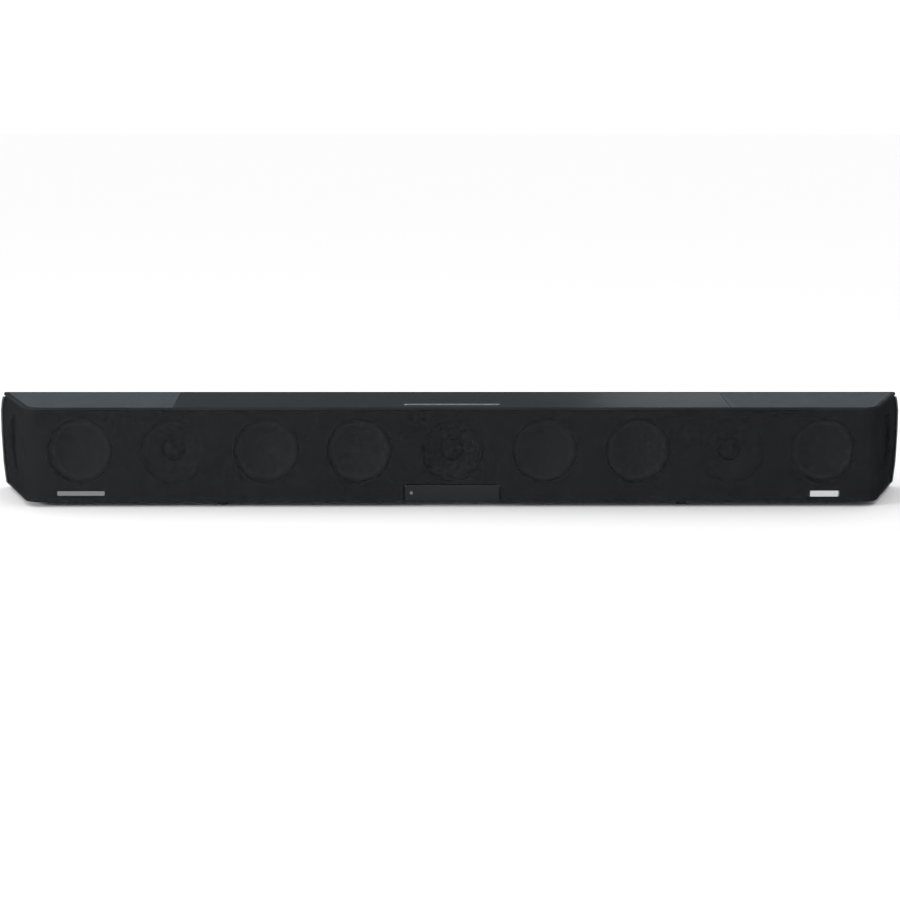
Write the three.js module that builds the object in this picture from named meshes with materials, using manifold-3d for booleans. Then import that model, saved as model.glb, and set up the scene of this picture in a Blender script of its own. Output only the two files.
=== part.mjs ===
// A long wedge-ended soundbar with thirteen drive units, in millimetres.
// -Y is the front with the cloth, +X is the right end seen from the front, +Z is up,
// and the origin lies under the middle of the bar, on the surface that its feet stand on.

import * as THREE from 'three';
import { mergeVertices } from 'three/addons/utils/BufferGeometryUtils.js';
import Module from 'manifold-3d';

const wasm = await Module();
wasm.setup();

// ---- Driving dimensions ----

const barWidth = 1265;            // over the rear edges of the two ends, the widest place
const barDepth = 171;
const barHeight = 135;            // from the floor to the top rim
const footHeight = 7;             // the floor gap under the cabinet
const endTaper = 59;              // how much narrower each end is at the front than at the rear
const cornerRadius = 26;          // upright front corners, in plan
const endBulgeLow = 4.5;          // how far the bottom edge of an end sits inside its fullest height
const endBulgeHigh = 5.3;         // the same at the top edge
const fit = 0.3;                  // gap between pieces that touch or sit in one another

const clothThickness = 1.5;
const grilleFrameThickness = 3;
const grilleWindow = 44;          // radius of the round windows in the grille frame
const grilleRib = 1.5;            // rib left between the middle window and the display
const driverSpace = 7;            // from the grille frame to the baffle, for flanges and excursion
const cabinetWall = 3.5;
const rearWall = 5;
const rearRim = 13;               // cabinet rim that stays in sight behind the cloth of each end
const baffleThickness = 9;
const dividerThickness = 3;

const lipHeight = 3.7;            // upright edge of the top frame over the cloth
const deckDepth = 6;              // top rim down to the underside of the deck
const panelThickness = 1.5;
const panelRecess = 0.3;          // top panels lie this far below the rim
const topRimWidth = 4.4;          // rim beside the top panels, at both ends
const frontRimWidth = 1;
const rearRimWidth = 2;
const seamFront = 372.5;          // from the middle to the seam between the panel and a top grille,
const seamRear = 378.7;           // at the front face and at the rear face of the bar
const seamGap = 0.5;

const driverPitch = 124.6;
const driverHeight = 76;          // driver axes above the floor
const woofer = { flange: 50, opening: 43.5, magnet: 34, depth: 60, travel: 5 };
const topDriver = { flange: 40, opening: 35, magnet: 27, depth: 44, travel: 3 };
const tweeter = { flange: 46, throat: 14, magnet: 24, depth: 26, travel: 0.3 };
const sideTweeter = { flange: 40, throat: 14, magnet: 24, depth: 26, travel: 0.3 };
const flangeThickness = 3;
const basketClearance = 3.5;      // baffle hole over a basket's opening
const flangeSeat = 6.5;           // how much of a tweeter's flange rests on the wall round its hole
const driverSides = 16;           // facets round a drive unit
const domeSides = 12;
const windowSides = 32;           // facets round a window of the grille frame
const smallSides = 8;             // facets round a small hole or stem
const topDriverX = 500;
const topDriverY = 38;
const sideTweeterY = -6;

const buttonCount = 8;
const buttonPitch = 16;
const buttonGap = 1.2;
const buttonTravel = 1;
const stripDepth = 10;            // control strip, front to back
const stripEnd = 9.5;             // from the last key's centre to the end of the strip
const stripY = -51;
const bezelWidth = 1.2;
const stemRadius = 1.8;

const windowWidth = 126.4;
const windowHeight = 21.6;
const windowBottom = 8.6;
const windowRadius = 4;
const windowMargin = 2.6;         // shadow gap round the display window
const lensInset = 0.4;            // window face behind the cloth's face
const lensThickness = 2;
const badgeX = 501.5;
const badgeZ = 18;
const badgeWidth = 40;
const badgeHeight = 8.2;
const badgeRadius = 1.2;

const bayWidth = 180;             // connector bay in the rear wall
const bayHeight = 50;
const bayDepth = 40;
const bayBottom = 20;
const bayWall = 2.5;
const wallPlateX = 380;
const wallPlateWidth = 70;
const wallPlateHeight = 36;
const wallPlateZ = 84;
const wallPlateThickness = 2.5;
const wallScrewPitch = 40;
const wallScrewRadius = 2.5;
const footX = 310.4;
const footWidth = 13.5;
const footLength = 34;
const footInset = 36;             // from the front and rear faces to a foot's centre

// ---- Sizes that follow ----

const frontY = -barDepth / 2;
const rearY = barDepth / 2;
const bodyBottom = footHeight;
const lipBottom = barHeight - lipHeight;
const deckBottom = barHeight - deckDepth;
const panelTop = barHeight - panelRecess;
const panelBottom = panelTop - panelThickness;
const recessFloor = panelBottom - fit;
const clothTop = lipBottom - fit;
const fullestLow = bodyBottom + 73;
const fullestHigh = bodyBottom + 102;
const splay = Math.atan(endTaper / barDepth);
const frameInset = clothThickness + fit;
const frameBack = frameInset + grilleFrameThickness;
const bodyInset = frameBack + driverSpace;
const baffleFront = frontY + bodyInset;
const baffleBack = baffleFront + baffleThickness;
const cabinetTop = deckBottom - fit;
const floorTop = bodyBottom + cabinetWall;
const cavityRear = rearY - rearWall;
const stripWidth = (buttonCount - 1) * buttonPitch + 2 * stripEnd;
const driverColumns = [-4, -3, -2, -1, 0, 1, 2, 3, 4];
const tweeterColumns = [-3, 0, 3];
const dividerColumns = [-3.5, -2.5, 2.5, 3.5];
const wooferColumns = driverColumns.filter((column) => !tweeterColumns.includes(column));

// ---- Solids ----

function toSolid(geometry) {
  const bare = geometry.index ? geometry.toNonIndexed() : geometry.clone();
  bare.deleteAttribute('normal');
  bare.deleteAttribute('uv');
  const merged = mergeVertices(bare, 1e-4);
  return new wasm.Manifold(new wasm.Mesh({
    numProp: 3,
    vertProperties: new Float32Array(merged.attributes.position.array),
    triVerts: new Uint32Array(merged.index.array),
  }));
}

function toGeometry(solid) {
  const result = solid.getMesh();
  const geometry = new THREE.BufferGeometry();
  geometry.setAttribute('position', new THREE.BufferAttribute(result.vertProperties, 3));
  geometry.setIndex(new THREE.BufferAttribute(result.triVerts, 1));
  geometry.computeVertexNormals();
  return geometry;
}

function block(x0, x1, y0, y1, z0, z1) {
  const geometry = new THREE.BoxGeometry(x1 - x0, y1 - y0, z1 - z0);
  geometry.translate((x0 + x1) / 2, (y0 + y1) / 2, (z0 + z1) / 2);
  return toSolid(geometry);
}

// A straight prism of the shape, drawn in plan and standing from z0 to z1.
function prism(shape, z0, z1, curveSegments = 4) {
  const geometry = new THREE.ExtrudeGeometry(shape, { depth: z1 - z0, bevelEnabled: false, curveSegments });
  geometry.translate(0, 0, z0);
  return toSolid(geometry);
}

// The same, drawn as seen from the front and reaching from y0 back to y1.
function frontPrism(shape, y0, y1, curveSegments = 4) {
  const geometry = new THREE.ExtrudeGeometry(shape, { depth: y1 - y0, bevelEnabled: false, curveSegments });
  geometry.rotateX(Math.PI / 2);
  geometry.translate(0, y1, 0);
  return toSolid(geometry);
}

function roundedRectangle(width, height, radius, centreX = 0, centreY = 0) {
  const right = centreX + width / 2;
  const left = centreX - width / 2;
  const high = centreY + height / 2;
  const low = centreY - height / 2;
  const shape = new THREE.Shape();
  shape.absarc(right - radius, low + radius, radius, -Math.PI / 2, 0, false);
  shape.absarc(right - radius, high - radius, radius, 0, Math.PI / 2, false);
  shape.absarc(left + radius, high - radius, radius, Math.PI / 2, Math.PI, false);
  shape.absarc(left + radius, low + radius, radius, Math.PI, 1.5 * Math.PI, false);
  return shape;
}

// A turned piece. Points are [radius, height] pairs that start on the axis at its front
// and come back to the axis at its rear.
function turned(points, sides = driverSides) {
  const profile = points.map(([radius, height]) => new THREE.Vector2(radius, height)).reverse();
  return toSolid(new THREE.LatheGeometry(profile, sides));
}

// LatheGeometry turns about +Y, which is out of the front once it is turned over to -Y,
// up once it is turned to +Z, and out of an end once it follows that end's slant.
function facing(direction, x, y, z) {
  const turn = new THREE.Quaternion().setFromUnitVectors(new THREE.Vector3(0, 1, 0), direction);
  return new THREE.Matrix4().compose(new THREE.Vector3(x, y, z), turn, new THREE.Vector3(1, 1, 1));
}

function place(solid, matrix) {
  return solid.transform(matrix.elements.slice());
}

// ---- The bar's outline in plan ----

function halfWidthAt(y, endInset) {
  return barWidth / 2 - (rearY - y) * Math.tan(splay) - endInset / Math.cos(splay);
}

// Front edge, two slanted ends with round front corners, and a straight rear edge at backY.
function planPoints(endInset, frontInset, backY, steps = 4) {
  const radius = Math.max(cornerRadius - frontInset, 3);
  const cornerY = frontY + frontInset + radius;
  const cornerX = halfWidthAt(cornerY, endInset + radius);
  const right = [];
  for (let step = 0; step <= steps; step += 1) {
    const angle = -Math.PI / 2 + (Math.PI / 2 - splay) * (step / steps);
    right.push([cornerX + radius * Math.cos(angle), cornerY + radius * Math.sin(angle)]);
  }
  right.push([halfWidthAt(backY, endInset), backY]);
  const left = right.map(([x, y]) => [-x, y]).reverse();
  return [...left, ...right].map(([x, y]) => new THREE.Vector2(x, y));
}

// How far the end face lies inside its fullest place at height z.
function endInsetAt(z) {
  if (z < fullestLow) {
    return endBulgeLow * ((fullestLow - z) / (fullestLow - bodyBottom)) ** 2;
  }
  if (z > fullestHigh) {
    return endBulgeHigh * ((z - fullestHigh) / (barHeight - fullestHigh)) ** 2;
  }
  return 0;
}

// A solid that follows the bar's outline from z0 to z1, a constant inset inside its skin.
function barSolid(inset, backY, z0, z1) {
  const middle = [bodyBottom + 28, fullestLow, fullestHigh, barHeight - 12];
  const heights = [z0, ...middle.filter((z) => z > z0 + 2 && z < z1 - 2), z1];
  const rings = heights.map((z) => planPoints(inset + endInsetAt(z), inset, backY));
  const count = rings[0].length;
  const positions = [];
  rings.forEach((ring, level) => ring.forEach((point) => positions.push(point.x, point.y, heights[level])));
  const faces = [];
  for (let level = 0; level < rings.length - 1; level += 1) {
    for (let corner = 0; corner < count; corner += 1) {
      const next = (corner + 1) % count;
      const low = level * count;
      const high = low + count;
      faces.push(low + corner, low + next, high + next);
      faces.push(low + corner, high + next, high + corner);
    }
  }
  const lid = (rings.length - 1) * count;
  for (const [a, b, c] of THREE.ShapeUtils.triangulateShape(rings[0], [])) {
    faces.push(a, c, b);
    faces.push(lid + a, lid + b, lid + c);
  }
  return new wasm.Manifold(new wasm.Mesh({
    numProp: 3,
    vertProperties: new Float32Array(positions),
    triVerts: new Uint32Array(faces),
  }));
}

// ---- The drive units' places ----

const forward = new THREE.Vector3(0, -1, 0);
const upward = new THREE.Vector3(0, 0, 1);

function frontPlace(column) {
  return facing(forward, column * driverPitch, baffleFront, driverHeight);
}

function sidePlace(side) {
  const outward = new THREE.Vector3(side * Math.cos(splay), -Math.sin(splay), 0);
  const x = side * halfWidthAt(sideTweeterY, bodyInset);
  return facing(outward, x, sideTweeterY, driverHeight);
}

function topPlace(side) {
  return facing(upward, side * topDriverX, topDriverY, cabinetTop - flangeThickness - fit);
}

// A round rod between two heights along the placed axis, used for holes and stems.
function bore(radius, back, front, matrix, sides = driverSides) {
  return place(turned([[0, front], [radius, front], [radius, back], [0, back]], sides), matrix);
}

// ---- Casing ----

function cabinet() {
  const shell = barSolid(bodyInset, rearY, bodyBottom, cabinetTop);
  const rim = barSolid(0, rearY, bodyBottom, clothTop)
    .intersect(block(-barWidth, barWidth, rearY - rearRim, rearY, 0, barHeight))
    .subtract(block(-barWidth, barWidth, 0, barDepth, cabinetTop, barHeight));
  const cavityEnd = bodyInset + cabinetWall;
  const floor = barSolid(frameBack + fit, rearY, bodyBottom, floorTop);
  let solid = shell.add(rim).add(floor);
  solid = solid.subtract(
    barSolid(cavityEnd, cavityRear, floorTop, barHeight)
      .add(block(-halfWidthAt(baffleFront, cavityEnd), halfWidthAt(baffleFront, cavityEnd),
        frontY - 1, baffleBack + fit, floorTop, barHeight)),
  );
  for (const x of dividerColumns.map((column) => column * driverPitch)) {
    const half = dividerThickness / 2;
    solid = solid.add(block(x - half, x + half, baffleBack + 2 * fit, rearY - 1, floorTop - 1, cabinetTop));
  }
  for (const side of [-1, 1]) {
    solid = solid.subtract(bore(sideTweeter.flange - flangeSeat, -2 * cabinetWall, 2 * cabinetWall,
      sidePlace(side)));
    solid = solid.subtract(wallPlateSolid(side, fit));
    for (const hole of [-1, 1]) {
      const x = side * wallPlateX + hole * wallScrewPitch / 2;
      solid = solid.subtract(bore(wallScrewRadius + 1, -1, 2 * rearWall,
        facing(forward, x, rearY, wallPlateZ), smallSides));
    }
  }
  return solid.subtract(block(-bayWidth / 2 - bayWall - fit, bayWidth / 2 + bayWall + fit,
    cavityRear - 2, rearY + 1, bayBottom - bayWall - fit, bayBottom + bayHeight + bayWall + fit));
}

function frontBaffle() {
  const half = halfWidthAt(baffleFront, bodyInset + cabinetWall + fit);
  let solid = block(-half, half, baffleFront, baffleBack, floorTop + fit, cabinetTop);
  for (const column of wooferColumns) {
    solid = solid.subtract(bore(woofer.opening + basketClearance, -2 * baffleThickness, baffleThickness,
      frontPlace(column)));
  }
  for (const column of tweeterColumns) {
    solid = solid.subtract(bore(tweeter.flange - flangeSeat, -2 * baffleThickness, baffleThickness,
      frontPlace(column)));
  }
  return solid;
}

// Windows of the two grille layers, from the display cut-out to the badge.
function displayCut(extra) {
  const width = windowWidth + 2 * windowMargin + 2 * extra;
  const height = windowBottom - bodyBottom + windowHeight + windowMargin + extra;
  const shape = roundedRectangle(width, 2 * height, windowRadius + 1, 0, bodyBottom);
  return frontPrism(shape, frontY - 1, baffleFront - flangeThickness - 1.5);
}

function badgeShape(clearance) {
  return roundedRectangle(badgeWidth + 2 * clearance, badgeHeight + 2 * clearance, badgeRadius + clearance,
    badgeX, badgeZ);
}

function wrap(inset, thickness, endY) {
  const outer = barSolid(inset, rearY, bodyBottom, clothTop);
  const inner = barSolid(inset + thickness, rearY + 1, bodyBottom - 1, clothTop + 1);
  return outer.subtract(inner).subtract(block(-barWidth, barWidth, endY, barDepth, 0, barHeight));
}

function grilleCloth() {
  const solid = wrap(0, clothThickness, rearY - rearRim - fit);
  return solid.subtract(displayCut(0)).subtract(frontPrism(badgeShape(fit), frontY - 1, frontY + bodyInset));
}

function grilleFrame() {
  let solid = wrap(frameInset, grilleFrameThickness, rearY - rearRim - fit);
  const overDisplay = driverHeight - windowBottom - windowHeight - windowMargin - fit - grilleRib;
  for (const column of driverColumns) {
    const radius = column === 0 ? Math.min(grilleWindow, overDisplay) : grilleWindow;
    solid = solid.subtract(bore(radius, -1, bodyInset + 1, frontPlace(column), windowSides));
  }
  for (const side of [-1, 1]) {
    solid = solid.subtract(bore(sideTweeter.flange, -1, bodyInset + 1, sidePlace(side)));
  }
  return solid.subtract(displayCut(fit)).subtract(frontPrism(badgeShape(fit), frontY - 1, baffleFront));
}

// ---- Top ----

function topRecess(height) {
  const half = (y) => halfWidthAt(y, endBulgeHigh + topRimWidth);
  const radius = cornerRadius - frontRimWidth;
  const cornerY = frontY + frontRimWidth + radius;
  const cornerX = half(cornerY) - radius / Math.cos(splay);
  const backY = rearY - rearRimWidth;
  const shape = new THREE.Shape();
  shape.absarc(-cornerX, cornerY, radius, Math.PI + splay, 1.5 * Math.PI, false);
  shape.absarc(cornerX, cornerY, radius, -Math.PI / 2, -splay, false);
  shape.lineTo(half(backY), backY);
  shape.lineTo(-half(backY), backY);
  return prism(shape, height, barHeight + 1, 6);
}

function stripShape(shrink) {
  const height = stripDepth - 2 * shrink;
  return roundedRectangle(stripWidth - 2 * shrink, height, height / 2 - 0.01, 0, stripY);
}

function topFrame() {
  const plate = barSolid(0, rearY, lipBottom, barHeight);
  const deck = barSolid(frameBack + fit, rearY - 0.5, deckBottom, lipBottom + 0.5);
  const keyFloor = deckBottom + 1.8;
  let solid = plate.add(deck).subtract(topRecess(recessFloor));
  solid = solid.subtract(prism(stripShape(bezelWidth + fit), keyFloor, barHeight));
  for (const x of buttonCentres()) {
    solid = solid.subtract(bore(stemRadius + 0.5, -1, 2 * deckDepth,
      facing(upward, x, stripY, deckBottom), smallSides));
  }
  for (const side of [-1, 1]) {
    solid = solid.subtract(bore(topDriver.opening + 1, 0, 2 * deckDepth, topPlace(side)));
  }
  return solid;
}

function topSkin() {
  return topRecess(panelBottom)
    .subtract(block(-barWidth, barWidth, -barDepth, barDepth, panelTop, 2 * barHeight))
    .intersect(inwardSkin());
}

// Everything between the two slanted seams, each of them moved out by the offset.
function betweenSeams(offset) {
  const slant = (seamRear - seamFront) / barDepth;
  const front = seamFront - slant * barDepth + offset;
  const rear = seamRear + slant * barDepth + offset;
  const shape = new THREE.Shape();
  shape.moveTo(-front, frontY - barDepth);
  shape.lineTo(front, frontY - barDepth);
  shape.lineTo(rear, rearY + barDepth);
  shape.lineTo(-rear, rearY + barDepth);
  return prism(shape, 0, 2 * barHeight);
}

// The recess shrunk by the fit, so that the panels drop into it.
function inwardSkin() {
  const slim = topRecess(0);
  const scaleX = 1 - 2 * fit / barWidth;
  const scaleY = 1 - 2 * fit / barDepth;
  return slim.scale([scaleX, scaleY, 1]).translate([0, 0, -1]);
}

function topPanel() {
  return topSkin().intersect(betweenSeams(-seamGap / 2)).subtract(prism(stripShape(-fit), 0, barHeight));
}

function topGrille(side) {
  const half = side < 0 ? block(-barWidth, 0, -barDepth, barDepth, 0, barHeight)
    : block(0, barWidth, -barDepth, barDepth, 0, barHeight);
  return topSkin().subtract(betweenSeams(seamGap / 2)).intersect(half);
}

// ---- Controls ----

function buttonCentres() {
  const first = -(buttonCount - 1) * buttonPitch / 2;
  return Array.from({ length: buttonCount }, (_, index) => first + index * buttonPitch);
}

function controlBezel() {
  const ring = prism(stripShape(0), recessFloor + fit, barHeight);
  return ring.subtract(prism(stripShape(bezelWidth), 0, 2 * barHeight));
}

function button(x) {
  const last = (buttonCount - 1) * buttonPitch / 2;
  const inside = stripWidth / 2 - bezelWidth - fit;
  const left = x < -last + 1 ? -inside : x - (buttonPitch - buttonGap) / 2;
  const right = x > last - 1 ? inside : x + (buttonPitch - buttonGap) / 2;
  const capBottom = panelBottom - 0.2;
  const cap = prism(stripShape(bezelWidth + fit), capBottom, barHeight - 0.1)
    .intersect(block(left, right, -barDepth, barDepth, 0, barHeight));
  const stemBottom = deckBottom - 2;
  const stem = bore(stemRadius, 0, capBottom + 0.5 - stemBottom,
    facing(upward, x, stripY, stemBottom), smallSides);
  return cap.add(stem);
}

function controlBoard() {
  const switchTop = deckBottom - 2 - buttonTravel - 0.2;
  const boardTop = switchTop - 1.5;
  let solid = block(-stripWidth / 2, stripWidth / 2, stripY - 7, stripY + 7, boardTop - 1.6, boardTop);
  for (const x of buttonCentres()) {
    solid = solid.add(block(x - 3, x + 3, stripY - 3, stripY + 3, boardTop - 0.5, switchTop));
  }
  return solid;
}

// ---- Front details ----

function displayWindow() {
  const shape = roundedRectangle(windowWidth, windowHeight, windowRadius, 0, windowBottom + windowHeight / 2);
  return frontPrism(shape, frontY + lensInset, frontY + lensInset + lensThickness);
}

function displayBoard() {
  const half = windowWidth / 2;
  const y = frontY + lensInset + lensThickness + 2 * fit;
  return block(-half, half, y, y + 1.6, windowBottom + 1, windowBottom + windowHeight - 1)
    .add(block(-half / 2, half / 2, y - fit, y + 0.5, windowBottom + 6, windowBottom + windowHeight - 5));
}

function statusBadge() {
  return frontPrism(badgeShape(0), frontY, frontY + frameBack - 0.2);
}

// ---- Drive units ----

// Pressed basket with its magnet, one turned piece with a gap for the voice coil.
function basket(unit) {
  const { flange, opening, magnet, depth } = unit;
  const coil = magnet * 0.4;
  const neck = -depth * 0.52;
  return turned([
    [0, neck], [coil - 2, neck], [coil - 2, -depth + 6], [coil + 1.6, -depth + 6], [coil + 1.6, neck - 3],
    [magnet - 5, neck - 3], [opening, -unit.travel - 3], [opening, flangeThickness + fit],
    [flange, flangeThickness + fit], [flange, fit], [opening + 2.5, fit], [opening + 2.5, -unit.travel - 5],
    [magnet, neck - 5], [magnet, -depth], [0, -depth],
  ]);
}

// Cone with its dust cap, its roll surround and its voice coil, which travel together.
function cone(unit) {
  const coil = unit.magnet * 0.4;
  const edge = unit.opening - 0.8;
  const throat = -unit.depth * 0.25;
  return turned([
    [0, throat + 6], [coil, throat + 0.6], [edge - 9, 1], [edge - 4.5, 3.6], [edge, 0.8], [edge, -0.4],
    [edge - 4.5, 2.2], [edge - 8.6, -0.6], [coil + 0.6, throat - 1.2], [coil + 0.6, -unit.depth * 0.68],
    [coil - 0.8, -unit.depth * 0.68], [coil - 0.8, throat - 0.8], [0, throat + 4.6],
  ]);
}

// Round flared wave guide with its magnet behind.
function tweeterBody(unit) {
  const { flange, throat, magnet, depth } = unit;
  return turned([
    [0, -depth + 5], [throat - 3, -depth + 5], [throat - 3, -depth + 3.4], [throat + 1.5, -depth + 3.4],
    [throat + 1.5, -6], [throat + 6, -4.5], [flange - 4, flangeThickness + fit],
    [flange, flangeThickness + fit], [flange, fit], [flange - flangeSeat - 1, fit], [magnet, -5.5],
    [magnet, -depth], [0, -depth],
  ]);
}

// Dome with its voice coil.
function dome(unit) {
  const { throat, depth } = unit;
  return turned([
    [0, -2.2], [throat * 0.6, -4.4], [throat + 0.8, -7.4], [throat + 0.8, -8.2], [throat, -8.2],
    [throat, -depth + 4.6], [throat - 1, -depth + 4.6], [throat - 1, -8.2], [0, -3.4],
  ], domeSides);
}

// ---- Rear and inside ----

const socketPlate = rearY - bayDepth;    // the face that carries the sockets
const inletSize = { x: -50, z: bayBottom + 22, width: 26, height: 16, depth: 22, hollow: [19, 9] };
const videoSize = { x: 6, z: bayBottom + 20, width: 20, height: 9, depth: 14, hollow: [14, 5] };
const opticalSize = { x: 48, z: bayBottom + 20, width: 14, height: 14, depth: 16, hollow: [9, 9] };

function connectorBay() {
  const half = bayWidth / 2;
  const top = bayBottom + bayHeight;
  let solid = block(-half - bayWall, half + bayWall, socketPlate - bayWall, rearY - 0.5,
    bayBottom - bayWall, top + bayWall).subtract(block(-half, half, socketPlate, rearY + 1, bayBottom, top));
  for (const socket of [inletSize, videoSize, opticalSize]) {
    const { x, z, width, height } = socket;
    solid = solid.subtract(block(x - width / 2 - fit, x + width / 2 + fit, 0, socketPlate + 1,
      z - height / 2 - fit, z + height / 2 + fit));
  }
  return solid;
}

function socket({ x, z, width, height, depth, hollow }) {
  const back = socketPlate + 1 - depth;
  return block(x - width / 2, x + width / 2, back, socketPlate + 1, z - height / 2, z + height / 2)
    .subtract(block(x - hollow[0] / 2, x + hollow[0] / 2, back + 3, socketPlate + 2,
      z - hollow[1] / 2, z + hollow[1] / 2));
}

function wallPlateSolid(side, clearance) {
  const x = side * wallPlateX;
  const shape = roundedRectangle(wallPlateWidth + 2 * clearance, wallPlateHeight + 2 * clearance,
    4 + clearance, x, wallPlateZ);
  return frontPrism(shape, rearY - wallPlateThickness - clearance, clearance > 0 ? rearY + 1 : rearY);
}

function wallPlate(side) {
  let solid = wallPlateSolid(side, 0);
  for (const hole of [-1, 1]) {
    const x = side * wallPlateX + hole * wallScrewPitch / 2;
    solid = solid.subtract(bore(wallScrewRadius, -1, 2 * rearWall,
      facing(forward, x, rearY, wallPlateZ), smallSides));
  }
  return solid;
}

function foot(side, end) {
  const y = end * (rearY - footInset);
  const shape = roundedRectangle(footWidth - 1.5, footLength - 1.5, (footWidth - 1.5) / 2 - 0.01);
  const geometry = new THREE.ExtrudeGeometry(shape, {
    depth: footHeight - fit - 1, bevelThickness: 0.5, bevelSize: 0.75, bevelSegments: 1, curveSegments: 3,
  });
  geometry.translate(side * footX, y, 0.5);
  return toSolid(geometry);
}

const boardFloor = floorTop + 4;
const boardThickness = 1.6;
const boardFront = -4;
const boardInner = bayWidth / 2 + bayWall + 17.5;
const boardOuter = 2.5 * driverPitch - 31.5;     // clear of the divider outside it
const boardWidth = boardOuter - boardInner;

// A block on a board, from one share of the board's width to another, on the side of the sign.
function onBoard(side, from, to, y0, y1, height) {
  const a = side * (boardInner + from * boardWidth);
  const b = side * (boardInner + to * boardWidth);
  return block(Math.min(a, b), Math.max(a, b), y0, y1, boardFloor + boardThickness / 2, boardFloor + height);
}

function board(side, backY) {
  const a = side * boardInner;
  const b = side * boardOuter;
  return block(Math.min(a, b), Math.max(a, b), boardFront, backY, boardFloor, boardFloor + boardThickness);
}

function powerSupply() {
  return board(-1, 66).add(onBoard(-1, 0.5, 0.95, 0, 60, 30)).add(onBoard(-1, 0.08, 0.4, 8, 52, 22));
}

function mainBoard() {
  return board(1, 72).add(onBoard(1, 0.06, 0.24, 30, 60, 4)).add(onBoard(1, 0.29, 0.36, 20, 32, 12));
}

function heatSink() {
  const finCount = 8;
  const finThickness = 2;
  const low = boardFloor + boardThickness + fit;
  const left = boardInner + 0.44 * boardWidth;
  const right = boardInner + 0.95 * boardWidth;
  const step = (right - left - finThickness) / (finCount - 1);
  let solid = block(left, right, 4, 66, low, low + 4);
  for (let fin = 0; fin < finCount; fin += 1) {
    const x = left + fin * step;
    solid = solid.add(block(x, x + finThickness, 4, 66, low + 3, low + 24));
  }
  return solid;
}

// ---- Assembly ----

const finishes = {
  cabinetPlastic: { color: 0x1d1e20, roughness: 0.7, metalness: 0 },
  board: { color: 0x8a6a45, roughness: 0.8, metalness: 0 },
  cloth: { color: 0x242628, roughness: 0.95, metalness: 0 },
  frame: { color: 0x17181a, roughness: 0.8, metalness: 0 },
  rim: { color: 0x2c3034, roughness: 0.45, metalness: 0.3 },
  darkMetal: { color: 0x4a5155, roughness: 0.4, metalness: 0.9 },
  grilleMetal: { color: 0x5b6266, roughness: 0.5, metalness: 0.8 },
  key: { color: 0x5a5f62, roughness: 0.5, metalness: 0.4 },
  lens: { color: 0x2a2c2e, roughness: 0.15, metalness: 0 },
  light: { color: 0xdcdcdc, roughness: 0.4, metalness: 0 },
  basketMetal: { color: 0x2b2c2e, roughness: 0.6, metalness: 0.7 },
  coneFinish: { color: 0x3c3e41, roughness: 0.6, metalness: 0 },
  circuit: { color: 0x1f4d33, roughness: 0.6, metalness: 0 },
  steel: { color: 0x9a9c9e, roughness: 0.4, metalness: 1 },
  rubber: { color: 0x141414, roughness: 0.9, metalness: 0 },
};

const soundbar = new THREE.Group();

function add(name, solid, finish) {
  const mesh = new THREE.Mesh(toGeometry(solid), new THREE.MeshStandardMaterial(finishes[finish]));
  mesh.name = name;
  soundbar.add(mesh);
}

add('cabinet', cabinet(), 'cabinetPlastic');
add('front_baffle', frontBaffle(), 'board');
add('grille_frame', grilleFrame(), 'frame');
add('grille_cloth', grilleCloth(), 'cloth');
add('top_frame', topFrame(), 'rim');
add('top_panel', topPanel(), 'darkMetal');
add('control_bezel', controlBezel(), 'steel');
add('control_board', controlBoard(), 'circuit');
buttonCentres().forEach((x, index) => add(`button_${index + 1}`, button(x), 'key'));
add('display_window', displayWindow(), 'lens');
add('display_board', displayBoard(), 'circuit');
add('status_badge', statusBadge(), 'light');

wooferColumns.forEach((column, index) => {
  add(`woofer_basket_${index + 1}`, place(basket(woofer), frontPlace(column)), 'basketMetal');
  add(`woofer_cone_${index + 1}`, place(cone(woofer), frontPlace(column)), 'coneFinish');
});
tweeterColumns.forEach((column, index) => {
  const side = ['left', 'centre', 'right'][index];
  add(`tweeter_body_${side}`, place(tweeterBody(tweeter), frontPlace(column)), 'basketMetal');
  add(`tweeter_dome_${side}`, place(dome(tweeter), frontPlace(column)), 'coneFinish');
});

for (const [side, label] of [[-1, 'left'], [1, 'right']]) {
  add(`top_grille_${label}`, topGrille(side), 'grilleMetal');
  add(`side_tweeter_body_${label}`, place(tweeterBody(sideTweeter), sidePlace(side)), 'basketMetal');
  add(`side_tweeter_dome_${label}`, place(dome(sideTweeter), sidePlace(side)), 'coneFinish');
  add(`top_driver_basket_${label}`, place(basket(topDriver), topPlace(side)), 'basketMetal');
  add(`top_driver_cone_${label}`, place(cone(topDriver), topPlace(side)), 'coneFinish');
  add(`wall_plate_${label}`, wallPlate(side), 'steel');
  add(`foot_front_${label}`, foot(side, -1), 'rubber');
  add(`foot_rear_${label}`, foot(side, 1), 'rubber');
}

add('connector_bay', connectorBay(), 'cabinetPlastic');
add('mains_inlet', socket(inletSize), 'frame');
add('video_socket', socket(videoSize), 'steel');
add('optical_socket', socket(opticalSize), 'frame');
add('power_supply', powerSupply(), 'circuit');
add('main_board', mainBoard(), 'circuit');
add('heat_sink', heatSink(), 'steel');

export default soundbar;
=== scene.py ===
import bmesh
import bpy
import math
from mathutils import Matrix, Vector
from mathutils.geometry import delaunay_2d_cdt


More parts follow.
